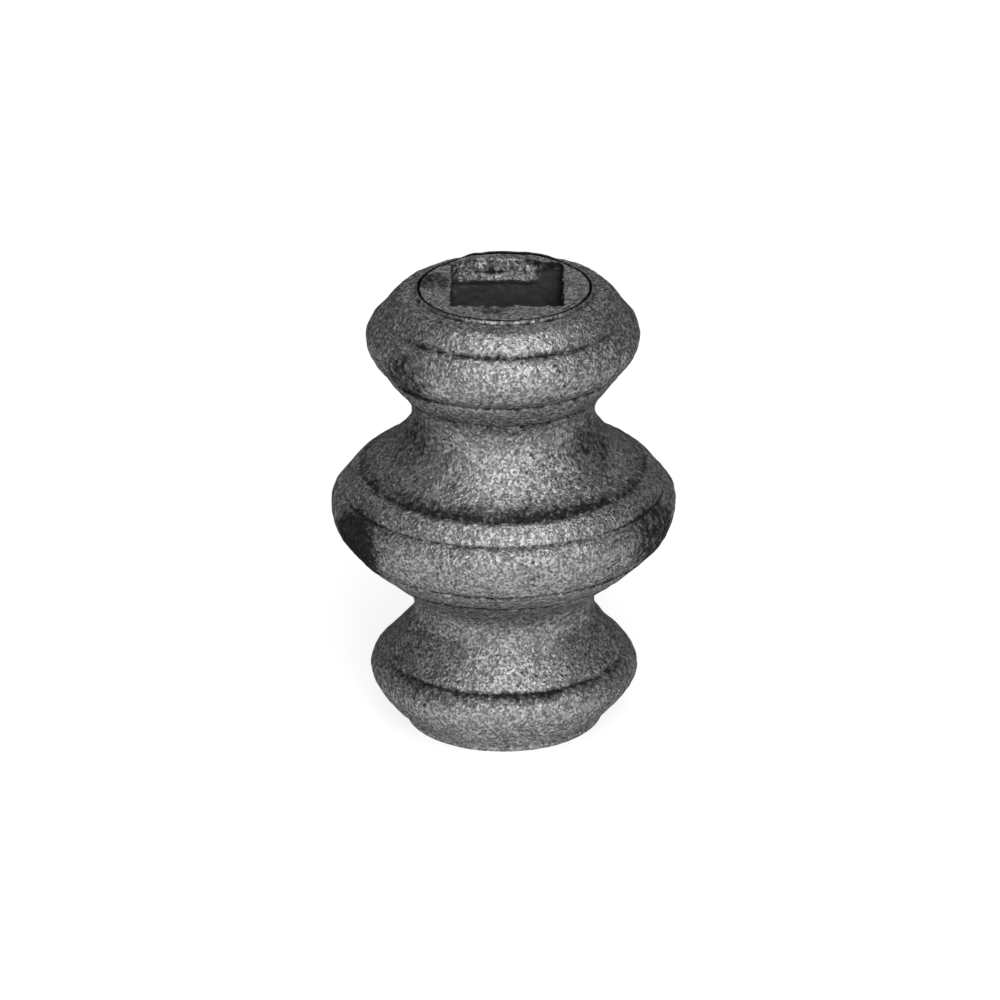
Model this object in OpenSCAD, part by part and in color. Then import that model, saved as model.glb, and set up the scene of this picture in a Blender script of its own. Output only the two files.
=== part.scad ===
// Cast iron collar for a railing baluster: a round moulded ornament, cast in one piece, with a
// square hole right through it that slides over an upright square bar.
// +Z points up the bar. The origin is on the axis of the mouldings, in the flat underside.
// The outline is a stack of mouldings. Each one has a height, and each radius is given as how
// far it stands out past the head face, so a wider bar widens the whole collar.

/* [Bar hole] */
// Side of the square bar that the collar slides over
bar_w = 14; // [8:0.5:20]
// Play of the bar in the hole, from wall to wall
bar_play = 0.5; // [0.2:0.1:2]
// Radius of the hole's upright corners
hole_corner_r = 0.8; // [0.2:0.1:2]
// How far the core slipped to the right in the mould
core_slip_x = 0.3; // [-1:0.1:1]
// How far the core slipped to the back in the mould
core_slip_y = 0.9; // [-1.5:0.1:1.5]
// Iron left between the hole's farthest corner and the edge of the head face
corner_wall = 0.6; // [0.4:0.1:6]

/* [Foot] */
// How far the foot land stands out past the head face
foot_out = 1.45; // [0.5:0.05:4]
// Height of the upright foot land
foot_land_h = 0.8; // [0.3:0.1:2]
// Height of the splay under the lower roll
foot_splay_h = 4.2; // [2:0.1:8]
// Swell of the splay off a straight line
foot_splay_swell = 0.25; // [0:0.05:0.8]

/* [Lower roll] */
// How far the lower roll's bottom edge stands out
low_roll_bottom_out = 5.3; // [4:0.05:8]
// How far the lower roll's belly stands out
low_roll_out = 6; // [5.5:0.05:9]
// How far the lower roll's top edge stands out
low_roll_top_out = 4.75; // [4:0.05:7]
// Height of the lower roll below its belly
low_roll_under_h = 2.1; // [1:0.05:4]
// Height of the lower roll above its belly
low_roll_over_h = 2.35; // [1:0.05:4]

/* [Lower neck] */
// How far the lower neck stands out at its waist
low_neck_out = 0.3; // [0:0.05:3]
// How far the crest of the flare on the lower roll stands out
low_flare_out = 4.45; // [3:0.05:6]
// Height of the flare on the lower roll
low_flare_h = 3.8; // [2:0.05:8]
// How far the flare stands out where it turns into the waist
low_flare_foot_out = 1.2; // [0.6:0.05:3]
// Height of the waist's hollow below its narrowest ring
low_waist_under_h = 2.15; // [1:0.05:4]
// Height of the waist's hollow above its narrowest ring
low_waist_over_h = 3; // [1:0.05:5]
// How far the soffit under the middle disc stands out where it starts
low_soffit_out = 1.45; // [0.6:0.05:3]
// Height of that soffit
low_soffit_h = 3.35; // [1.5:0.05:6]
// How far that soffit stands out where it ends
low_soffit_top_out = 5.45; // [4:0.05:7]

/* [Middle disc] */
// How far the under band of the middle disc stands out at its bottom
mid_band_bottom_out = 5.65; // [5:0.05:7.5]
// How far the under band of the middle disc stands out at its top
mid_band_top_out = 8.75; // [7:0.05:9.5]
// Height of the under band of the middle disc
mid_band_h = 2.8; // [1:0.05:5]
// How far the middle roll's bottom edge stands out
mid_roll_bottom_out = 9; // [8:0.05:10.5]
// How far the middle roll's belly stands out
mid_roll_out = 11.05; // [10:0.05:14]
// How far the middle roll's top edge stands out
mid_roll_top_out = 9.8; // [8.5:0.05:10.5]
// Height of the middle roll below its belly
mid_roll_under_h = 4.4; // [2:0.05:7]
// Height of the middle roll above its belly
mid_roll_over_h = 2.55; // [1.5:0.05:5]
// How far the middle bead stands out at its bottom
mid_bead_bottom_out = 9.6; // [8:0.05:10.5]
// How far the middle bead stands out at its top
mid_bead_top_out = 7.7; // [7:0.05:9]
// Height of the middle bead
mid_bead_h = 2.3; // [1.2:0.05:5]

/* [Upper neck] */
// How far the upper neck stands out at its waist
up_neck_out = 0.45; // [0:0.05:3]
// How far the crest of the flare on the middle disc stands out
up_flare_out = 7.2; // [4:0.05:8]
// Height of the flare on the middle disc
up_flare_h = 4.85; // [2.5:0.05:8]
// How far the flare stands out where it turns into the waist
up_flare_foot_out = 1.55; // [0.8:0.05:3]
// Hollow of that flare off a straight line
up_flare_hollow = 0.36; // [0:0.02:0.8]
// Height of the waist's hollow below its narrowest ring
up_waist_under_h = 2.75; // [1:0.05:5]
// Height of the waist's hollow above its narrowest ring
up_waist_over_h = 3; // [1:0.05:5]
// How far the waist's hollow stands out where it meets the head
up_waist_top_out = 1.5; // [0.8:0.05:3]

/* [Head] */
// How far the under band of the head stands out at its bottom
head_band_bottom_out = 1.7; // [1:0.05:3]
// How far the under band of the head stands out at its top
head_band_top_out = 4.3; // [3:0.05:5]
// Height of the under band of the head
head_band_h = 3.35; // [1.5:0.05:6]
// How far the head roll's bottom edge stands out
head_roll_bottom_out = 4.5; // [3.5:0.05:5.5]
// How far the head roll's belly stands out
head_roll_out = 6.3; // [5:0.05:9]
// How far the head roll's top edge stands out
head_roll_top_out = 4.4; // [3:0.05:5.5]
// Height of the head roll below its belly
head_roll_under_h = 3.4; // [1.5:0.05:6]
// Height of the head roll above its belly
head_roll_over_h = 3.15; // [1.5:0.05:6]
// How far the head bead stands out at its bottom
head_bead_bottom_out = 4.25; // [3:0.05:5.5]
// How far the head bead stands out at its top
head_bead_top_out = 2.25; // [1:0.05:3]
// Height of the head bead
head_bead_h = 2.4; // [1:0.05:5]
// Fall of the ledge round the head face
ledge_fall = 0.35; // [0.1:0.05:1]
// Height of the head face above the ledge
face_land_h = 0.55; // [0.2:0.05:1.5]
// How far the ledge starts outside the edge of the head face
face_land_out = 0.15; // [0:0.05:0.6]

/* [Casting] */
// Depth of the grooves between the mouldings
groove_depth = 0.3; // [0.1:0.05:0.8]
// Width of the grooves between the mouldings, up the collar
groove_h = 0.3; // [0.1:0.05:0.8]
// Swell of the flat-looking beads and bands off a straight line
band_swell = 0.12; // [0:0.02:0.3]
// Swell of each half of a roll off a straight line
roll_swell = 0.4; // [0.2:0.02:0.6]
// Hollow of the lower flare and the soffit off a straight line
flare_hollow = 0.14; // [0:0.02:0.3]
// Hollow of each half of a waist off a straight line
waist_hollow = 0.27; // [0.1:0.02:0.4]

/* [Hidden] */

// Steps in each curved stretch of the outline, and in each rounded corner of the hole
CURVE_STEPS = 7;
CORNER_STEPS = 5;
// How far the hole's cutter runs past both faces
OVERRUN = 1;

hole_w = bar_w + bar_play;
// From the axis of the collar to the farthest point of the slipped hole
corner_reach = hole_corner_r + norm([hole_w / 2 - hole_corner_r + abs(core_slip_x),
                                     hole_w / 2 - hole_corner_r + abs(core_slip_y)]);
face_r = corner_reach + corner_wall;

// A groove between the edge below and the edge above, as two rows of the stack
function groove(out_below, out_above) =
    let (floor_out = min(out_below, out_above) - groove_depth)
    [[out_below, floor_out, groove_h / 2, 0],
     [floor_out, out_above, groove_h / 2, 0]];

FOOT = [
    [foot_out, foot_out, foot_land_h, 0],
    [foot_out, low_roll_bottom_out, foot_splay_h, foot_splay_swell],
    [low_roll_bottom_out, low_roll_out, low_roll_under_h, roll_swell / 2],
    [low_roll_out, low_roll_top_out, low_roll_over_h, roll_swell / 2],
];
LOWER_NECK = [
    each groove(low_roll_top_out, low_flare_out),
    [low_flare_out, low_flare_foot_out, low_flare_h, -flare_hollow],
    [low_flare_foot_out, low_neck_out, low_waist_under_h, -waist_hollow],
    [low_neck_out, low_soffit_out, low_waist_over_h, -waist_hollow],
    [low_soffit_out, low_soffit_top_out, low_soffit_h, -flare_hollow],
];
MIDDLE_DISC = [
    each groove(low_soffit_top_out, mid_band_bottom_out),
    [mid_band_bottom_out, mid_band_top_out, mid_band_h, band_swell],
    each groove(mid_band_top_out, mid_roll_bottom_out),
    [mid_roll_bottom_out, mid_roll_out, mid_roll_under_h, roll_swell],
    [mid_roll_out, mid_roll_top_out, mid_roll_over_h, roll_swell],
    each groove(mid_roll_top_out, mid_bead_bottom_out),
    [mid_bead_bottom_out, mid_bead_top_out, mid_bead_h, band_swell],
];
UPPER_NECK = [
    each groove(mid_bead_top_out, up_flare_out),
    [up_flare_out, up_flare_foot_out, up_flare_h, -up_flare_hollow],
    [up_flare_foot_out, up_neck_out, up_waist_under_h, -waist_hollow],
    [up_neck_out, up_waist_top_out, up_waist_over_h, -waist_hollow],
];
HEAD = [
    each groove(up_waist_top_out, head_band_bottom_out),
    [head_band_bottom_out, head_band_top_out, head_band_h, band_swell],
    each groove(head_band_top_out, head_roll_bottom_out),
    [head_roll_bottom_out, head_roll_out, head_roll_under_h, roll_swell],
    [head_roll_out, head_roll_top_out, head_roll_over_h, roll_swell],
    each groove(head_roll_top_out, head_bead_bottom_out),
    [head_bead_bottom_out, head_bead_top_out, head_bead_h, band_swell],
    [head_bead_top_out, face_land_out, ledge_fall, 0],
    [face_land_out, 0, face_land_h, 0],
];
// Every moulding from the underside up: out at its bottom, out at its top, height, swell
STACK = [each FOOT, each LOWER_NECK, each MIDDLE_DISC, each UPPER_NECK, each HEAD];

function height_below(i) = i == 0 ? 0 : height_below(i - 1) + STACK[i - 1][2];
total_h = height_below(len(STACK));

// Points from p towards q, without q, on an arc whose middle stands off the chord by swell
function arc_points(p, q, swell) =
    swell == 0 ? [p] :
    let (
        along = (q - p) / norm(q - p),
        outward = [along[1], -along[0]],
        half_chord = norm(q - p) / 2,
        radius = (half_chord * half_chord + swell * swell) / (2 * swell),
        half_angle = asin(half_chord / radius)
    )
    [for (k = [0 : CURVE_STEPS - 1])
        let (turn = half_angle * (2 * k / CURVE_STEPS - 1))
        (p + q) / 2 + along * radius * sin(turn)
            + outward * (radius * cos(turn) - radius + swell)];

function outline_points() = [
    for (i = [0 : len(STACK) - 1])
        let (row = STACK[i], z = height_below(i))
        each arc_points([face_r + row[0], z], [face_r + row[1], z + row[2]], row[3]),
    [face_r, total_h],
];

// A square of side w whose corners are rounded to radius r
function rounded_square(w, r) = [
    for (corner = [0 : 3], k = [0 : CORNER_STEPS])
        let (
            turn = 90 * (corner + k / CORNER_STEPS),
            centre = (w / 2 - r) * [corner == 0 || corner == 3 ? 1 : -1, corner < 2 ? 1 : -1]
        )
        centre + r * [cos(turn), sin(turn)]
];

module mouldings() {
    rotate_extrude($fn = 120)
        polygon([[0, 0], each outline_points(), [0, total_h]]);
}

module bar_hole() {
    translate([core_slip_x, core_slip_y, -OVERRUN])
        linear_extrude(height = total_h + 2 * OVERRUN)
            polygon(rounded_square(hole_w, hole_corner_r));
}

module collar() {
    color("dimgray")
        difference() {
            mouldings();
            bar_hole();
        }
}

collar();
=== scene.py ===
# %% [markdown]
# A railing collar of cast iron, dressed for its portrait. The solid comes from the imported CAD
# model and fixes every size. This script gives it what a sand mould gives a real one: soft
# edges, a lumpy grainy skin, a ragged rim round the cored hole, and the dull grey of bare iron.
import math

import bmesh
import bpy
from mathutils import Matrix, Vector, noise


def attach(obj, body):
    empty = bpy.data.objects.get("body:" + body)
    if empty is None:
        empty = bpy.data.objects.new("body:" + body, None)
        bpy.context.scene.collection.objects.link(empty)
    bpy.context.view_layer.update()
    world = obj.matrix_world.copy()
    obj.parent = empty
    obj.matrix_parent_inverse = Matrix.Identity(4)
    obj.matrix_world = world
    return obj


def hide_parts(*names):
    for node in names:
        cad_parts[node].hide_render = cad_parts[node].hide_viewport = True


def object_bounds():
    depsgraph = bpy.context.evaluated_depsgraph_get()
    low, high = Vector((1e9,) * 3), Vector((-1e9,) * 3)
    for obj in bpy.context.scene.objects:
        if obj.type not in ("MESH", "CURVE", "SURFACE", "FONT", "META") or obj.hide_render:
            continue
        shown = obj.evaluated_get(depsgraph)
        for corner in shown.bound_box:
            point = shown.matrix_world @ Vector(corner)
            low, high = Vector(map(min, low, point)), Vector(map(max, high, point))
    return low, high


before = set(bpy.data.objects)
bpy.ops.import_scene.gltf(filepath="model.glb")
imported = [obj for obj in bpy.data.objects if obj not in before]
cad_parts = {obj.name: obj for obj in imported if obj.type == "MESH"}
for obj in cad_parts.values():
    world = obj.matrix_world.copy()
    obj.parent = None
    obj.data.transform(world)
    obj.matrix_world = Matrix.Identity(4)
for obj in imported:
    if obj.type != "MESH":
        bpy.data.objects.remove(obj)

MM = 0.001
cad_low, cad_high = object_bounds()
HEIGHT = cad_high[2] - cad_low[2]
print("CAD box in mm:", [round(c / MM, 2) for c in (*cad_low, *cad_high)])

# %% [markdown]
# The camera comes first, because every later choice is judged through it. A small part is
# photographed from over a metre away with a long lens, so its circles stay even ellipses.
# The picture is square: one pixel of a thousand covers PIXEL of the part at its middle.

# %% The camera
PIXEL = 0.1297 * MM
PICTURE_SIDE = 1000
SENSOR = 36.0
CLIP_FAR = 50.0
CAMERA_DISTANCE = 1.167
CAMERA_ELEVATION = math.radians(24.1)
CAMERA_ROLL = math.radians(-0.3)
# Where the middle of the part lies in the picture, right of and below the picture's middle
PART_RIGHT = 3.3
PART_BELOW = 0.2

middle = Vector((0, 0, HEIGHT / 2))
towards = Vector((0, -math.cos(CAMERA_ELEVATION), math.sin(CAMERA_ELEVATION)))
upward = Vector((0, math.sin(CAMERA_ELEVATION), math.cos(CAMERA_ELEVATION)))
aim = middle + Vector((-PART_RIGHT * PIXEL, 0, 0)) + upward * PART_BELOW * PIXEL

lens = bpy.data.cameras.new("camera")
lens.sensor_width = SENSOR
lens.lens = SENSOR * CAMERA_DISTANCE / (PICTURE_SIDE * PIXEL)
lens.clip_end = CLIP_FAR
camera = bpy.data.objects.new("camera", lens)
camera.location = aim + towards * CAMERA_DISTANCE
camera.rotation_euler = (
    towards.to_track_quat("Z", "Y").to_matrix() @ Matrix.Rotation(CAMERA_ROLL, 3, "Z")
).to_euler()
bpy.context.scene.collection.objects.link(camera)
bpy.context.scene.camera = camera
print("lens in mm:", round(lens.lens, 1))

# %% [markdown]
# The moulded outside is a body of revolution, so it is spun from its outline. The outline is
# not typed in again: a copy of the CAD solid is cut down the middle with bisect_plane, and the
# wire that the cut leaves outside the hole is the outline, exact to the drawing.

# %% The outline, cut from the CAD solid
WELD = 0.002 * MM
# Points of the outline that lie closer together than this become one
SHORTEST_STEP = 10 * WELD
OUTLINE_STEP = 0.42 * MM


def cut_outline():
    wire = bmesh.new()
    wire.from_mesh(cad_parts["collar"].data)
    bmesh.ops.remove_doubles(wire, verts=wire.verts, dist=WELD)
    bmesh.ops.bisect_plane(
        wire, geom=[*wire.verts, *wire.edges, *wire.faces], dist=WELD,
        plane_co=(0, 0, 0), plane_no=(0, 1, 0), clear_outer=True, clear_inner=True,
    )
    foot_edge = max(v.co.x for v in wire.verts if v.co.z < WELD)
    face_edge = max(v.co.x for v in wire.verts if v.co.z > HEIGHT - WELD)
    spare = [
        v for v in wire.verts
        if v.co.x < face_edge - WELD or (v.co.z < WELD and v.co.x < foot_edge - WELD)
    ]
    bmesh.ops.delete(wire, geom=spare, context="VERTS")
    bmesh.ops.remove_doubles(wire, verts=wire.verts, dist=SHORTEST_STEP)
    for edge in list(wire.edges):
        cuts = int(edge.calc_length() / OUTLINE_STEP)
        if cuts:
            bmesh.ops.subdivide_edges(wire, edges=[edge], cuts=cuts)
    return wire, foot_edge, face_edge


casting, foot_r, face_r = cut_outline()
print("outline points:", len(casting.verts), "face radius in mm:", round(face_r / MM, 2))

# %% [markdown]
# Black scale and moulding dust stay in the creases between the mouldings, and the creases are also
# darkened as painted shade, so the finish must know where those are. A crease is a point where the
# outline turns back on itself: the cross product of the two edges that meet there is then negative.
# Rounded hollows don't count.

# %% The creases of the outline
CREASE_TURN = 0.3


def turn_at(v):
    below, above = sorted((e.other_vert(v).co for e in v.link_edges), key=lambda co: co.z)
    came, goes = v.co - below, above - v.co
    return (came.x * goes.z - came.z * goes.x) / (came.length * goes.length)


inner_points = [v for v in casting.verts if len(v.link_edges) == 2]
creases = sorted((v.co.copy() for v in inner_points if turn_at(v) < -CREASE_TURN),
                 key=lambda co: co.z)
print("creases, radius and height in mm:",
      [(round(c.x / MM, 1), round(c.z / MM, 1)) for c in creases])

# %% [markdown]
# Spin turns the outline once round the axis. The steps are as fine as the outline's points, so
# the skin is made of nearly square faces that can take the lumps of the sand. use_merge closes
# the seam, which would otherwise show as a line down the side.

# %% The spun outside
STEPS_ROUND = 256

bmesh.ops.spin(
    casting, geom=[*casting.verts, *casting.edges], axis=(0, 0, 1), cent=(0, 0, 0),
    angle=2 * math.pi, steps=STEPS_ROUND, use_merge=True,
)
print("faces on the outside:", len(casting.faces))

# %% [markdown]
# A corner that leaves the sand is never quite sharp, because the iron's skin draws round it.
# A few passes of smooth_vert over the fine rings give that softness to every corner and groove
# at once, about half a millimetre wide. The two open rims stay where they are.

# %% Soft corners
SOFT_PASSES, SOFT_SHARE = 3, 0.5

inner = [v for v in casting.verts if not v.is_boundary]
for _ in range(SOFT_PASSES):
    bmesh.ops.smooth_vert(
        casting, verts=inner, factor=SOFT_SHARE,
        use_axis_x=True, use_axis_y=True, use_axis_z=True,
    )
print("points softened:", len(inner))

# %% [markdown]
# The head face has a fine line just inside its edge: a shallow groove painted near black as its
# shade. A few narrow rings are laid inside the rim so that the line can be pressed into the metal
# later.
# Extruding the rim's edges and moving the new points towards the axis makes each ring. A Python
# set of a mesh's parts has another order at each run, so once_each keeps the parts in the order
# in which they were found, and every point comes out the same each time.

# %% Narrow rings inside the face's rim
FACE_RINGS = 4
FACE_RING_WIDTH = 0.19 * MM
# A rim is looked for this far beyond its radius, and the hole's loop stays this far inside it
RIM_MARGIN = 1 * MM


def edges_at(bm, height, reach):
    return [
        e for e in bm.edges
        if all(abs(v.co.z - height) < WELD and v.co.xy.length < reach for v in e.verts)
    ]


def once_each(parts):
    return list(dict.fromkeys(parts))


def extend(bm, edges, shift):
    made = bmesh.ops.extrude_edge_only(bm, edges=edges)["geom"]
    new_verts = [item for item in made if isinstance(item, bmesh.types.BMVert)]
    for v in new_verts:
        v.co += shift(v.co)
    moved = set(new_verts)
    return once_each(e for v in new_verts for e in v.link_edges if moved.issuperset(e.verts))


def inward(co):
    return Vector((-co.x, -co.y, 0)).normalized() * FACE_RING_WIDTH


face_rim = edges_at(casting, HEIGHT, face_r + RIM_MARGIN)
for _ in range(FACE_RINGS):
    face_rim = extend(casting, face_rim, inward)
foot_rim = edges_at(casting, 0.0, foot_r + RIM_MARGIN)
print("edges round the face and the foot:", len(face_rim), len(foot_rim))

# %% [markdown]
# The hole is the print of a square core, and its side, place and corners are the drawing's. Its
# loop starts as a four-sided circle whose corners are bevelled, and its sides are cut until it
# has as many points as the circles above and below it, so that bridge_loops can join them one to
# one. Rings stand close together near the two mouths, where the light reaches, and far apart in
# the dark between them.

# %% The square hole
HOLE_SIDES = 4
HOLE_SIDE = 14.5 * MM
HOLE_CENTRE = Vector((0.3 * MM, 0.9 * MM, 0))
CORNER_R = 0.8 * MM
CORNER_CUTS = 4
MOUTH_RINGS = 27
DARK_RINGS = 12
FOOT_RINGS = 8
MOUTH_STEP = 0.3 * MM
FOOT_STEP = 0.6 * MM
dark_step = (HEIGHT - MOUTH_RINGS * MOUTH_STEP - FOOT_RINGS * FOOT_STEP) / DARK_RINGS

corners = bmesh.ops.create_circle(
    casting, cap_ends=False, segments=HOLE_SIDES, radius=HOLE_SIDE / math.sqrt(2),
    matrix=Matrix.Rotation(math.pi / 4, 4, "Z"),
)["verts"]
bmesh.ops.bevel(
    casting, geom=corners, offset=CORNER_R, offset_type="OFFSET", segments=CORNER_CUTS,
    profile=0.5, affect="VERTICES", material=-1,
)
hole_loop = edges_at(casting, 0.0, foot_r - RIM_MARGIN)
sides = [e for e in hole_loop if e.calc_length() > HOLE_SIDE / 2]
side_cuts = STEPS_ROUND // HOLE_SIDES - (CORNER_CUTS + 1)
bmesh.ops.subdivide_edges(casting, edges=sides, cuts=side_cuts)
hole_loop = edges_at(casting, 0.0, foot_r - RIM_MARGIN)
loop_verts = once_each(v for e in hole_loop for v in e.verts)
bmesh.ops.translate(casting, vec=HOLE_CENTRE, verts=loop_verts)
hole_foot = hole_loop
for step in [FOOT_STEP] * FOOT_RINGS + [dark_step] * DARK_RINGS + [MOUTH_STEP] * MOUTH_RINGS:
    hole_loop = extend(casting, hole_loop, lambda co: Vector((0, 0, step)))
print("edges round the hole:", len(hole_foot), len(hole_loop))

# %% [markdown]
# Two bridges close the casting: one from the foot's rim to the hole's lower end and one on the
# head face. Of two loops in one plane the operator can't tell which way they run, and it may
# twist the bridge, so the hole's end is lifted clear while each bridge is made. The cross edges
# are then cut so that the flat faces are as fine as the rest.

# %% The two flat faces
FLAT_CUTS = 8
LIFT = 5 * MM

for rim, mouth in ((foot_rim, hole_foot), (face_rim, hole_loop)):
    mouth_verts = once_each(v for e in mouth for v in e.verts)
    bmesh.ops.translate(casting, verts=mouth_verts, vec=(0, 0, LIFT))
    across = bmesh.ops.bridge_loops(casting, edges=rim + mouth)["edges"]
    bmesh.ops.translate(casting, verts=mouth_verts, vec=(0, 0, -LIFT))
    print("longest cross edge in mm:", round(max(e.calc_length() for e in across) / MM, 2))
    bmesh.ops.subdivide_edges(casting, edges=across, cuts=FLAT_CUTS)
bmesh.ops.remove_doubles(casting, verts=casting.verts, dist=WELD)
bmesh.ops.recalc_face_normals(casting, faces=casting.faces)
casting.normal_update()
open_edges = sum(not e.is_manifold for e in casting.edges)
print("faces:", len(casting.faces), "open edges:", open_edges, "volume in mm3:",
      round(casting.calc_volume(signed=True) / MM**3))

# %% [markdown]
# Green sand leaves its mark at three sizes: slow waves where the mould was rammed unevenly,
# lumps the size of a lentil, and grain like coarse salt. Each is one layer of noise that moves
# the points along their normals. Noise that is read at a place in space, not at a random draw,
# gives the same casting at every run.

# %% The skin that the sand leaves
WAVE_SIZE, WAVE_HEIGHT = 9.0 * MM, 0.16 * MM
LUMP_SIZE, LUMP_HEIGHT = 2.6 * MM, 0.10 * MM
GRAIN_SIZE, GRAIN_HEIGHT = 0.9 * MM, 0.07 * MM


def sand_skin(co):
    wave = noise.noise(co / WAVE_SIZE) * WAVE_HEIGHT
    lump = noise.noise(co / LUMP_SIZE) * LUMP_HEIGHT
    grain = noise.noise(co / GRAIN_SIZE) * GRAIN_HEIGHT
    return wave + lump + grain


print("the sand moves a point in mm by at most:",
      round((WAVE_HEIGHT + LUMP_HEIGHT + GRAIN_HEIGHT) / MM, 2))

# %% [markdown]
# The mouth of the hole is rougher than the outside, because the core was broken out with a
# chisel. The wall is torn down to a depth that wanders round the hole, so the depth is a slow
# noise read in plan. The torn band is shortest in the right-hand corner of the back wall.

# %% How deep the mouth is torn
TEAR_DEPTH = 2.5 * MM
TEAR_WANDER, TEAR_WANDER_SIZE = 0.7 * MM, 3.5 * MM
CORNER_ACROSS, CORNER_BACK = (3.6 * MM, 5.2 * MM), (2 * MM, 6 * MM)
CORNER_SHORTER = 1.9 * MM

back_middle = HOLE_CENTRE + Vector((0, HOLE_SIDE / 2, 0))


def smooth_step(low, high, value):
    share = min(max((value - low) / (high - low), 0.0), 1.0)
    return share * share * (3 - 2 * share)


def tear_depth(co):
    wander = noise.noise(Vector((co.x, co.y, 0)) / TEAR_WANDER_SIZE) * TEAR_WANDER
    right_corner = smooth_step(*CORNER_ACROSS, co.x) * smooth_step(*CORNER_BACK, co.y)
    return TEAR_DEPTH + wander - right_corner * CORNER_SHORTER


print("torn depth in mm at the middle of the back wall:", round(tear_depth(back_middle) / MM, 2))

# %% [markdown]
# The back edge of the mouth is broken away furthest, so its points are drawn back towards the
# rim of the face. The pull fades with depth, with the distance from the edge, and at both ends.

# %% The broken back edge
BREAK_BACK, BREAK_DEPTH, BREAK_FADE = 1.1 * MM, 2.8 * MM, 2.6 * MM
# Where the break starts on the left and ends on the right, as shares of the hole's half width
BREAK_LEFT, BREAK_RIGHT = (-1.0, -0.6), (0.4, 0.7)


def broken_back(co, depth):
    across = (co.x - HOLE_CENTRE.x) / (HOLE_SIDE / 2)
    behind_edge = co.y - HOLE_CENTRE.y - HOLE_SIDE / 2
    share = 1 - smooth_step(0, BREAK_DEPTH, depth)
    share *= 1 - smooth_step(0, BREAK_FADE, abs(behind_edge))
    share *= smooth_step(*BREAK_LEFT, across) * (1 - smooth_step(*BREAK_RIGHT, across))
    return Vector((0, share * BREAK_BACK, 0))


print("the back edge is drawn back in mm:", round(broken_back(back_middle, 0).y / MM, 2))

# %% [markdown]
# Under the torn band the smooth wall stands back a little. A small lip runs along part of the
# back wall, with a band of painted shade above it. The torn band is drawn darker, most of all on
# the right and in spots. The function gives the height of the skin, how far the wall is torn there
# from 0 to 1, and how dark its colour is drawn there, painted shade included.

# %% The skin of the hole's wall
TEAR_HEIGHT, TEAR_SIZE, TEAR_EDGE = 0.42 * MM, 1.1 * MM, 0.35 * MM
STEP_BACK = 0.25 * MM
BACK_BAND = 0.6 * MM
LIP_LEFT, LIP_RIGHT, LIP_RAMP = -4.3 * MM, 0.5 * MM, 1 * MM
LIP_HEIGHT, LIP_DEPTH, LIP_HALF = 0.35 * MM, 2.35 * MM, 0.45 * MM
SHADE_ABOVE_LIP_DEPTH, SHADE_ABOVE_LIP_HALF = 1.55 * MM, 0.35 * MM
DARK_LEFT, DARK_MORE_RIGHT, DARK_ACROSS = 0.2, 0.5, (2.5 * MM, 5 * MM)
DARK_SPOTS, DARK_SPOT_SIZE = 0.7, 0.8 * MM


def hole_skin(co, depth):
    torn = 1 - smooth_step(0, TEAR_EDGE, depth - tear_depth(co))
    rough = noise.noise(co / TEAR_SIZE) * TEAR_HEIGHT * torn
    back_wall = smooth_step(HOLE_SIDE / 2 - BACK_BAND, HOLE_SIDE / 2, co.y - HOLE_CENTRE.y)
    along = smooth_step(LIP_LEFT, LIP_LEFT + LIP_RAMP, co.x)
    along *= 1 - smooth_step(LIP_RIGHT - LIP_RAMP, LIP_RIGHT, co.x)
    lip = max(0.0, 1 - abs(depth - LIP_DEPTH) / LIP_HALF) * LIP_HEIGHT * along * back_wall
    # Painted shade in a band above the lip.
    shade_above_lip = max(0.0, 1 - abs(depth - SHADE_ABOVE_LIP_DEPTH) / SHADE_ABOVE_LIP_HALF) * along
    darkening = DARK_LEFT + DARK_MORE_RIGHT * smooth_step(*DARK_ACROSS, co.x)
    darkening += DARK_SPOTS * noise.noise(co / DARK_SPOT_SIZE)
    return rough + lip - (1 - torn) * STEP_BACK, torn, torn * (max(darkening, 0.0) + shade_above_lip)


print("half way down, the wall stands back in mm:",
      round(-hole_skin(back_middle, HEIGHT / 2)[0] / MM, 2))

# %% [markdown]
# A low burr was left standing along the back edge of the head face, where the runner was
# knocked off. It runs along the edge and tapers away at both ends.

# %% The burr
BURR_HEIGHT = 0.3 * MM
BURR_MIDDLE, BURR_HALF = 0.6 * MM, 6.6 * MM
BURR_WIDE = 0.9 * MM
# The burr is full out to this share of its half length
BURR_FULL = 0.7


def burr(co):
    share = 1 - smooth_step(BURR_FULL, 1.0, abs(co.x - BURR_MIDDLE) / BURR_HALF)
    share *= 1 - smooth_step(0, BURR_WIDE, abs(co.xy.length - face_r))
    return Vector((0, 0, share * BURR_HEIGHT)) if co.y > 0 else Vector()


print("burr in mm at its middle:", round(burr(Vector((BURR_MIDDLE, face_r, HEIGHT))).z / MM, 2))

# %% [markdown]
# On the head face the skin is scarred in two places, and the fine line is pressed in just inside
# the edge. The face is otherwise flat, since it was rubbed level before it left the foundry. The
# function gives the height of the skin, then how far a place lies in the line and in a scar.

# %% The skin of the head face
# The line's middle lies this many rings inside the rim
LINE_RINGS = 1.5
LINE_R = face_r - LINE_RINGS * FACE_RING_WIDTH
LINE_DEPTH = 0.12 * MM
PIT_SIZE, PIT_DEPTH, PIT_LEVEL = 0.8 * MM, 0.35 * MM, 0.05
# Each scar or patch is full out to this share of its reach, and fades from there
FULL_WITHIN = 0.3
SCARS = [
    (Vector((-9.0 * MM, 2.0 * MM, HEIGHT)), 4.6 * MM, 1.0),
    (Vector((-1.5 * MM, -7.5 * MM, HEIGHT)), 2.8 * MM, 0.8),
]
SCAR_SCALE = 0.7


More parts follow.
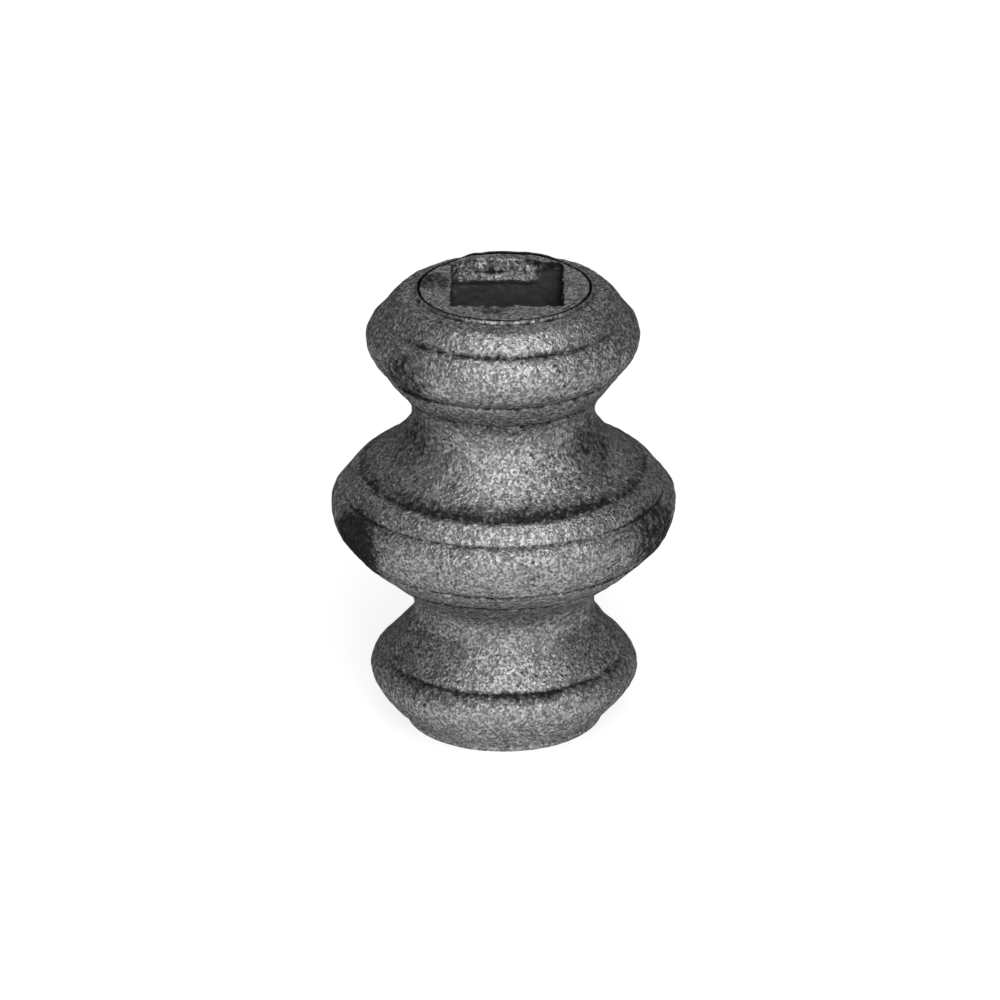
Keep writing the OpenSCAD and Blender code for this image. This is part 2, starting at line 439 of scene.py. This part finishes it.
def face_skin(co):
    line = min(max(LINE_RINGS - abs(co.xy.length - LINE_R) / FACE_RING_WIDTH, 0.0), 1.0)
    scar = max(
        share * (1 - smooth_step(FULL_WITHIN, 1.0, (co - place).length / reach))
        for place, reach, share in SCARS
    )
    pits = min(0.0, noise.noise(co / PIT_SIZE) - PIT_LEVEL)
    return pits * scar * PIT_DEPTH - line * LINE_DEPTH, line, scar


print("radius of the fine line in mm:", round(LINE_R / MM, 2))

# %% [markdown]
# How far the scale and the painted shade run out of each crease is given one by one: wide in the
# two valleys under the flares, narrow elsewhere. Each row holds the half widths below and above one
# crease, and the share of its scale and painted shade that is left towards the sides. The rows go
# from the lowest crease to the highest.

# %% Where the scale and the painted shade lie in the creases
# abs(y) / radius is 0 at the sides and 1 at the front. A point counts as the side below the
# first of these, and as the front above the second.
SIDE_TO_FRONT = (0.35, 0.85)
# Scale and painted shade in the creases: half widths below and above, and the share left at the
# sides.
CREASE_SCALE_AND_SHADE = [
    (0.1 * MM, 0.1 * MM, 0.5),      # foot and its splay
    (1.35 * MM, 0.2 * MM, 0.5),     # lower roll and its flare
    (0.3 * MM, 0.25 * MM, 0.6),     # soffit and the under band of the disc
    (0.3 * MM, 0.25 * MM, 0.6),     # under band and the middle roll
    (0.25 * MM, 0.2 * MM, 1.0),     # middle roll and its bead
    (0.65 * MM, 1.55 * MM, 0.8),    # bead and the upper flare
    (0.35 * MM, 0.3 * MM, 0.6),     # waist and the under band of the head
    (0.3 * MM, 0.3 * MM, 0.6),      # under band and the head roll
    (0.5 * MM, 0.4 * MM, 0.5),      # head roll and its bead
    (0.1 * MM, 0.2 * MM, 0.8),      # ledge and the head face
]


def crease_scale_and_shade(co):
    radius = co.xy.length
    frontal = smooth_step(*SIDE_TO_FRONT, abs(co.y) / radius)
    thickest = 0.0
    for crease, (below, above, at_sides) in zip(creases, CREASE_SCALE_AND_SHADE):
        half_width = below if co.z < crease.z else above
        distance = math.hypot(radius - crease.x, co.z - crease.z)
        share = 1 - distance / (2 * half_width)
        thickest = max(thickest, share * (at_sides + (1 - at_sides) * frontal))
    return thickest


print("creases in the outline and rows of scale:", len(creases), len(CREASE_SCALE_AND_SHADE))

# %% [markdown]
# A few places out at the sides are darkened with the scale's colour as painted shade, and one place
# on the front of the head is lightened as a painted highlight. Each place is a centre, a reach and
# a share, above zero for painted shade and below it for the painted highlight. Black specks are
# left in the grain too, thick at the sides and thin at the front and the back, which paints shade
# on the sides.

# %% Painted shade at the sides and a painted highlight on the head
# The specks thin out between these values of abs(y) / radius, down to a small share at the front
SPECKS_AND_SIDE_SHADE_FADE = (0.55, 0.97)
FRONT_SPECKS = 0.08
# Places of painted shade at the sides, and one painted highlight where the share is below zero.
SIDE_SHADE_AND_HIGHLIGHT_PLACES = [
    (Vector((-13.3, -12.0, 51.7)) * MM, 6.5 * MM, 0.7),
    (Vector((-19.6, -11.0, 28.9)) * MM, 7.8 * MM, 1.15),
    (Vector((19.6, -10.0, 29.6)) * MM, 8.0 * MM, 0.8),
    (Vector((-12.0, -5.5, 41.0)) * MM, 7.0 * MM, 0.6),
    (Vector((12.0, -5.5, 41.0)) * MM, 7.0 * MM, 0.6),
    (Vector((-16.0, -8.0, 8.0)) * MM, 6.0 * MM, 0.15),
    (Vector((14.2, -7.2, 9.3)) * MM, 4.0 * MM, 0.3),
    (Vector((14.8, -15.5, 28.5)) * MM, 5.5 * MM, 0.25),
    (Vector((5.5, -13.5, 59.0)) * MM, 5.5 * MM, -0.1),
]


# The specks thicken towards the sides, which paints shade there.
def specks_and_side_shade_at(co):
    return max(1 - smooth_step(*SPECKS_AND_SIDE_SHADE_FADE, abs(co.y) / co.xy.length), FRONT_SPECKS)


def side_shade_and_highlight_at(co):
    total = 0.0
    for centre, reach, share in SIDE_SHADE_AND_HIGHLIGHT_PLACES:
        total += share * (1 - smooth_step(FULL_WITHIN, 1.0, (co - centre).length / reach))
    return total


print("specks at the side and at the front:",
      specks_and_side_shade_at(Vector((1, 0, 0))), specks_and_side_shade_at(Vector((0, 1, 0))))

# %% [markdown]
# Every point now takes its own skin, and the top of the casting leans a little to the right, as
# the upper half of the mould had slipped. Four marks are kept for the materials. They are scale
# for the black scale, the painted shade in the creases and at the sides, the painted highlight and
# the darker torn band in the hole; soot for the core wash on the hole's wall, whose darkness is
# partly painted shade; line for the fine line on the face, painted as shade in its groove; and
# specks for the black dots in the grain, which paint shade on the sides.

# %% Move the points
FACE_BAND = 0.05 * MM
# How much of the sand's skin is left on the hole's wall, the head face and the foot
WALL_SAND, FACE_SAND, FOOT_SAND = 0.6, 0.7, 0.3
HEAD_LEAN = 0.3 * MM
LEAN_LOW, LEAN_HIGH = 52 * MM, 58 * MM

normals = [v.normal.copy() for v in casting.verts]
marks = {name: [0.0] * len(normals) for name in ("scale_shade_and_highlight", "core_wash_and_shade", "line", "specks_and_side_shade")}
for i, v in enumerate(casting.verts):
    co = v.co.copy()
    in_plan = co.xy - HOLE_CENTRE.xy
    on_wall = max(abs(in_plan.x), abs(in_plan.y)) < HOLE_SIDE / 2 + WELD
    offset = sand_skin(co)
    if on_wall:
        extra, torn, marks["scale_shade_and_highlight"][i] = hole_skin(co, HEIGHT - co.z)
        # Below the torn band the wall takes the core wash, which is partly painted shade of the
        # deep hole.
        marks["core_wash_and_shade"][i] = 1 - torn
        marks["specks_and_side_shade"][i] = torn
        offset = offset * WALL_SAND + extra
    elif co.z > HEIGHT - FACE_BAND:
        extra, marks["line"][i], scar = face_skin(co)
        marks["specks_and_side_shade"][i] = scar
        marks["scale_shade_and_highlight"][i] = scar * SCAR_SCALE
        offset = offset * FACE_SAND + extra
    elif co.z < FACE_BAND:
        offset *= FOOT_SAND
    else:
        # The creases and a few places at the sides get painted shade here, and one place a painted
        # highlight, in one mark with the real scale.
        marks["scale_shade_and_highlight"][i] = crease_scale_and_shade(co) + side_shade_and_highlight_at(co)
        # The specks paint shade on the sides.
        marks["specks_and_side_shade"][i] = specks_and_side_shade_at(co)
    v.co += normals[i] * offset
    if co.z > HEIGHT - BREAK_DEPTH:
        v.co += burr(co)
    if in_plan.y > 0 and (on_wall or co.z > HEIGHT - FACE_BAND):
        v.co += broken_back(co, HEIGHT - co.z)
    v.co.x += HEAD_LEAN * smooth_step(LEAN_LOW, LEAN_HIGH, co.z)
print("volume in mm3:", round(casting.calc_volume(signed=True) / MM**3))

# %% [markdown]
# The marks become layers of the mesh: one number at each point, which an Attribute node in the
# material reads by the layer's name.

# %% Write the marks into the mesh
for name, values in marks.items():
    layer = casting.verts.layers.float.new(name)
    for v, value in zip(casting.verts, values):
        v[layer] = value
    print("points with", name + ":", sum(value != 0 for value in values))

# %% [markdown]
# The finished mesh becomes one object at the origin. It rides on the one body and stands for the
# CAD solid that it was cut from, which is hidden.

# %% The casting as an object
mesh = bpy.data.meshes.new("collar_casting")
casting.to_mesh(mesh)
casting.free()
mesh.shade_smooth()
collar = bpy.data.objects.new("collar_casting", mesh)
bpy.context.scene.collection.objects.link(collar)
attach(collar, "root")
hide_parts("collar")
print("triangles:", sum(len(p.vertices) - 2 for p in mesh.polygons))

# %% [markdown]
# Colours are written as they would be picked in a picture editor, and one function turns them
# into the linear values that the shader wants. A second one adds a node, sets its properties
# and fills its sockets, either with a value or with a link from another node. A socket is
# called by its name, or by its number where two sockets share a name.

# %% Helpers for the finishes
def linear(hex_colour):
    parts = [int(hex_colour[i:i + 2], 16) / 255 for i in (1, 3, 5)]
    return (*[c / 12.92 if c <= 0.04045 else ((c + 0.055) / 1.055) ** 2.4 for c in parts], 1.0)


def add(tree, kind, inputs, **settings):
    node = tree.nodes.new(kind)
    for name, value in settings.items():
        setattr(node, name, value)
    live = {s.name: s for s in reversed(node.inputs) if s.enabled}
    for key, value in inputs.items():
        socket = live[key] if isinstance(key, str) else node.inputs[key]
        if isinstance(value, bpy.types.NodeSocket):
            tree.links.new(value, socket)
        else:
            socket.default_value = value
    return next(s for s in node.outputs if s.enabled) if node.outputs else node


def new_tree(owner):
    owner.use_nodes = True
    owner.node_tree.nodes.clear()
    return owner.node_tree


print("middle grey in linear light:", round(linear("#808080")[0], 3))

# %% [markdown]
# Grey iron as it comes from the sand, shot-blasted but not machined or painted. The blast bares
# the metal on the high places, so it shines dully, and leaves mill-black scale in the hollows,
# whose darkness is also painted shade.
# Its gloss is wide and soft because every grain of sand has left a dimple: the roughness is
# high, and two layers of bump lie over the modelled lumps. The smallest grain is drawn at a
# third of a millimetre. Real moulding sand is 0.2 mm, which would be finer than the picture.
# Each grain has a tone of its own, from the cells of a Voronoi pattern, and here and there a
# grain of sand broke out and left a pit.

# %% As-cast grey iron: its patterns
FINE_GRAIN = 0.36 * MM
COARSE_GRAIN = 0.8 * MM
TONE_GRAIN = 0.3 * MM
PIT_SPACING = 0.95 * MM
PATCH = 6.0 * MM
OCTAVES, GRAIN_ROUGHNESS, PATCH_ROUGHNESS = 3.0, 0.65, 0.55
# Distances from a pit's centre, in cells, and the grey levels of the patches that have pits
PIT_RIM, PIT_CORE, PIT_SHARE = 0.3, 0.15, 0.8
PATCH_LOW, PATCH_HIGH = 0.4, 0.6

as_cast_iron = bpy.data.materials.new("as_cast_grey_iron")
tree = new_tree(as_cast_iron)
place = tree.nodes.new("ShaderNodeTexCoord").outputs["Object"]
fine = add(tree, "ShaderNodeTexNoise", {
    "Vector": place, "Scale": 1 / FINE_GRAIN, "Detail": OCTAVES, "Roughness": GRAIN_ROUGHNESS,
})
coarse = add(tree, "ShaderNodeTexNoise", {
    "Vector": place, "Scale": 1 / COARSE_GRAIN, "Detail": OCTAVES, "Roughness": GRAIN_ROUGHNESS,
})
patch = add(tree, "ShaderNodeTexNoise", {
    "Vector": place, "Scale": 1 / PATCH, "Detail": OCTAVES, "Roughness": PATCH_ROUGHNESS,
})
tone_cells = add(tree, "ShaderNodeTexVoronoi", {"Vector": place, "Scale": 1 / TONE_GRAIN})
tone = tone_cells.node.outputs["Color"]
pit_centre = add(tree, "ShaderNodeTexVoronoi", {"Vector": place, "Scale": 1 / PIT_SPACING})
pits = add(tree, "ShaderNodeMath", {
    0: add(tree, "ShaderNodeMapRange", {
        "Value": pit_centre, "From Min": PIT_RIM, "From Max": PIT_CORE, "To Max": PIT_SHARE,
    }),
    1: add(tree, "ShaderNodeMapRange", {
        "Value": patch, "From Min": PATCH_LOW, "From Max": PATCH_HIGH,
    }),
}, operation="MULTIPLY")
mark_of = {}
for name in marks:
    mark = tree.nodes.new("ShaderNodeAttribute")
    mark.attribute_name = name
    mark_of[name] = mark.outputs["Fac"]
print("nodes of the patterns:", len(tree.nodes))

# %% [markdown]
# The colour is bare iron whose grains differ in tone, the lightest of them a painted glint. Scale
# darkens it in the creases, partly as painted shade, and the painted shade at the sides darkens it
# there, with an edge that the coarse grain and the patches break up; the one place below zero is
# lightened as a painted highlight. The pits and the specks are dark as well, and the specks paint
# shade on the sides. The core wash, a graphite paint, darkens the hole, partly as painted shade.
# The fine line on the face is painted near black as the shade in its groove.

# %% As-cast grey iron: its colour
# The grains differ in tone at random, and the light end is a painted glint.
BARE_DARK, BARE_GLINT_LIGHT = "#7c7c7c", "#cacaca"
# The colour of the painted highlight.
PAINTED_HIGHLIGHT_LIGHT = "#f0f0f0"
# The colour of the scale and of the painted shade.
SCALE_AND_SHADE_BLACK = "#1c1c1c"
# The core wash, partly painted shade of the hole.
CORE_WASH_AND_SHADE_GREY = "#727272"
# The fine line's painted shade.
LINE_SHADE_BLACK = "#080808"
SCALE_SHADE_STARTS, SCALE_SHADE_FULL, SCALE_SHADE_COVER = 0.15, 0.85, 0.9
SCALE_SHADE_GRAIN, SCALE_SHADE_PATCH = 0.9, 0.35
GLINT_LOW, GLINT_HIGH = 0.35, 0.85
SPECK_EDGE, SPECK_CORE, SPECK_SHARE = 0.53, 0.38, 0.7

# The lightest grains are a painted glint.
bare_with_glints = add(tree, "ShaderNodeMix", {
    "Factor": add(tree, "ShaderNodeMapRange", {
        "Value": tone, "From Min": GLINT_LOW, "From Max": GLINT_HIGH,
    }),
    "A": linear(BARE_DARK), "B": linear(BARE_GLINT_LIGHT),
}, data_type="RGBA")
# A painted highlight where the mark falls below zero.
painted_highlight_share = add(tree, "ShaderNodeMapRange", {
    "Value": mark_of["scale_shade_and_highlight"], "From Min": 0.0, "From Max": -1.0,
})
with_painted_highlight = add(tree, "ShaderNodeMix", {
    "Factor": painted_highlight_share, "A": bare_with_glints, "B": linear(PAINTED_HIGHLIGHT_LIGHT),
}, data_type="RGBA")
broken = add(tree, "ShaderNodeMath", {
    0: add(tree, "ShaderNodeMapRange", {
        "Value": coarse, "To Min": -SCALE_SHADE_GRAIN, "To Max": SCALE_SHADE_GRAIN,
    }),
    1: add(tree, "ShaderNodeMapRange", {
        "Value": patch, "To Min": -SCALE_SHADE_PATCH, "To Max": SCALE_SHADE_PATCH,
    }),
}, operation="ADD")
scale_and_shade_share = add(tree, "ShaderNodeMapRange", {
    "Value": add(tree, "ShaderNodeMath", {0: mark_of["scale_shade_and_highlight"], 1: broken}, operation="ADD"),
    "From Min": SCALE_SHADE_STARTS, "From Max": SCALE_SHADE_FULL, "To Max": SCALE_SHADE_COVER,
})
specks_and_side_shade = add(tree, "ShaderNodeMath", {
    0: add(tree, "ShaderNodeMapRange", {
        "Value": fine, "From Min": SPECK_EDGE, "From Max": SPECK_CORE, "To Max": SPECK_SHARE,
    }),
    1: mark_of["specks_and_side_shade"],
}, operation="MULTIPLY")
dots = add(tree, "ShaderNodeMath", {0: pits, 1: specks_and_side_shade}, operation="MAXIMUM")
# Scale and painted shade darken the colour here.
scaled_and_shaded = add(tree, "ShaderNodeMix", {
    "Factor": add(tree, "ShaderNodeMath", {0: scale_and_shade_share, 1: dots}, operation="MAXIMUM"),
    "A": with_painted_highlight, "B": linear(SCALE_AND_SHADE_BLACK),
}, data_type="RGBA")
# The fine line is painted near black as its shade.
lined = add(tree, "ShaderNodeMix", {
    "Factor": mark_of["line"], "A": scaled_and_shaded, "B": linear(LINE_SHADE_BLACK),
}, data_type="RGBA")
# The core wash darkens the hole, partly as painted shade.
colour = add(tree, "ShaderNodeMix", {
    "Factor": mark_of["core_wash_and_shade"], "A": lined, "B": linear(CORE_WASH_AND_SHADE_GREY),
}, data_type="RGBA")
print("nodes with the colour:", len(tree.nodes))

# %% [markdown]
# The bump heights are true ones: a Bump node's Distance is the height in metres between the
# lowest and the highest value of its pattern. The roughness rises in the scale, which is dull.
# The relief is full at the sides and flatter at the front, where the blast hit the iron square on.
# The core wash is a brushed paint and fills the grain, so the relief fades out under it. Such a
# rough skin doesn't brighten towards its outline as a smooth metal would, so its edge tint is dark.

# %% As-cast grey iron: its relief and gloss
FINE_RELIEF = 0.19 * MM
COARSE_RELIEF = 0.34 * MM
FRONT_RELIEF, WASH_RELIEF = 0.65, 0.2
BARE_ROUGH, SCALE_ROUGH = 0.5, 0.8
EDGE_TINT = "#101010"

roughness = add(tree, "ShaderNodeMapRange", {
    "Value": scale_and_shade_share, "From Max": SCALE_SHADE_COVER, "To Min": BARE_ROUGH, "To Max": SCALE_ROUGH,
})
strength = add(tree, "ShaderNodeMath", {
    0: add(tree, "ShaderNodeMapRange", {"Value": mark_of["specks_and_side_shade"], "To Min": FRONT_RELIEF}),
    1: add(tree, "ShaderNodeMapRange", {
        "Value": mark_of["core_wash_and_shade"], "To Min": 1.0, "To Max": WASH_RELIEF,
    }),
}, operation="MULTIPLY")
dimples = add(tree, "ShaderNodeBump", {
    "Height": coarse, "Distance": COARSE_RELIEF, "Strength": strength,
})
relief = add(tree, "ShaderNodeBump", {
    "Height": fine, "Distance": FINE_RELIEF, "Strength": strength, "Normal": dimples,
})
iron = add(tree, "ShaderNodeBsdfPrincipled", {
    "Base Color": colour, "Metallic": 1.0, "Roughness": roughness, "Normal": relief,
    "Specular Tint": linear(EDGE_TINT),
}, distribution="GGX")
add(tree, "ShaderNodeOutputMaterial", {"Surface": iron})
mesh.materials.append(as_cast_iron)
print("nodes of the finish:", len(tree.nodes))

# %% [markdown]
# The part stands on a large pale floor. Seen by the camera, or in a reflection, the floor adds
# a glow of its own that brings it up to white, while its lit part still takes the shadow. For
# light that bounces off it, it is plain pale paint. The underside of each moulding shows it.

# %% The floor
FLOOR_SIDE = 12.0
FLOOR_DROP = 0.05 * MM
PALE, PALE_SEEN = "#e8e8e8", "#969696"
GLOW = 0.84

ground = bmesh.new()
bmesh.ops.create_grid(ground, x_segments=1, y_segments=1, size=FLOOR_SIDE / 2)
bmesh.ops.translate(ground, verts=ground.verts, vec=(0, 0, -FLOOR_DROP))
floor_mesh = bpy.data.meshes.new("floor")
ground.to_mesh(floor_mesh)
ground.free()
floor = bpy.data.objects.new("floor", floor_mesh)
bpy.context.scene.collection.objects.link(floor)

floor_paint = bpy.data.materials.new("matt_white_studio_floor")
tree = new_tree(floor_paint)
rays = tree.nodes.new("ShaderNodeLightPath").outputs
seen = rays["Is Camera Ray"]
for kind in ("Is Glossy Ray", "Is Transmission Ray"):
    seen = add(tree, "ShaderNodeMath", {0: seen, 1: rays[kind]}, operation="ADD", use_clamp=True)
shown = add(tree, "ShaderNodeAddShader", {
    0: add(tree, "ShaderNodeBsdfDiffuse", {"Color": linear(PALE_SEEN)}),
    1: add(tree, "ShaderNodeEmission", {"Strength": GLOW}),
})
paint = add(tree, "ShaderNodeMixShader", {
    0: seen, 1: add(tree, "ShaderNodeBsdfDiffuse", {"Color": linear(PALE)}), 2: shown,
})
add(tree, "ShaderNodeOutputMaterial", {"Surface": paint})
floor_mesh.materials.append(floor_paint)
print("side of the floor in m:", FLOOR_SIDE)

# %% [markdown]
# One tall soft lamp stands above the camera and a little to its right, so the brightest band
# runs down the middle of the casting and the sides fall away to dark. The lamp's power makes a
# white card that faces it just white: a card at the distance d gets pi from pi * pi * d * d
# watts. The world is a dim grey room that fills the shadows, with a pale wall behind the part:
# the head face and the ledges mirror it, while the flanks mirror the dim sides of the room.

# %% The lamp and the world
LAMP_DISTANCE = 1.5
LAMP_WIDTH, LAMP_TALL = 0.5, 1.5
LAMP_RIGHT = math.radians(7)
LAMP_ELEVATION = math.radians(44)
ROOM_GREY, WALL_PALE = "#606060", "#d0d0d0"
WALL_ELEVATION = math.radians(30)
WALL_REACH = math.radians(55)

lamp_data = bpy.data.lights.new("soft_lamp", "AREA")
lamp_data.shape = "RECTANGLE"
lamp_data.size = LAMP_WIDTH
lamp_data.size_y = LAMP_TALL
lamp_data.energy = (math.pi * LAMP_DISTANCE) ** 2
lamp = bpy.data.objects.new("soft_lamp", lamp_data)
from_part = Vector((
    math.sin(LAMP_RIGHT) * math.cos(LAMP_ELEVATION),
    -math.cos(LAMP_RIGHT) * math.cos(LAMP_ELEVATION),
    math.sin(LAMP_ELEVATION),
))
lamp.location = middle + from_part * LAMP_DISTANCE
lamp.rotation_euler = from_part.to_track_quat("Z", "Y").to_euler()
bpy.context.scene.collection.objects.link(lamp)
print("the lamp's watts:", round(lamp_data.energy, 1))

world = bpy.data.worlds.new("grey_room")
bpy.context.scene.world = world
tree = new_tree(world)
direction = tree.nodes.new("ShaderNodeTexCoord").outputs["Generated"]
facing = add(tree, "ShaderNodeVectorMath", {
    0: direction, 1: (0, math.cos(WALL_ELEVATION), math.sin(WALL_ELEVATION)),
}, operation="DOT_PRODUCT")
wall_share = add(tree, "ShaderNodeMapRange", {
    "Value": facing, "From Min": math.cos(WALL_REACH), "From Max": 1.0,
}, interpolation_type="SMOOTHSTEP")
room = add(tree, "ShaderNodeMix", {
    "Factor": wall_share, "A": linear(ROOM_GREY), "B": linear(WALL_PALE),
}, data_type="RGBA")
room = add(tree, "ShaderNodeBackground", {"Color": room, "Strength": 1.0})
add(tree, "ShaderNodeOutputWorld", {"Surface": room})
bpy.context.scene.view_settings.view_transform = "Standard"
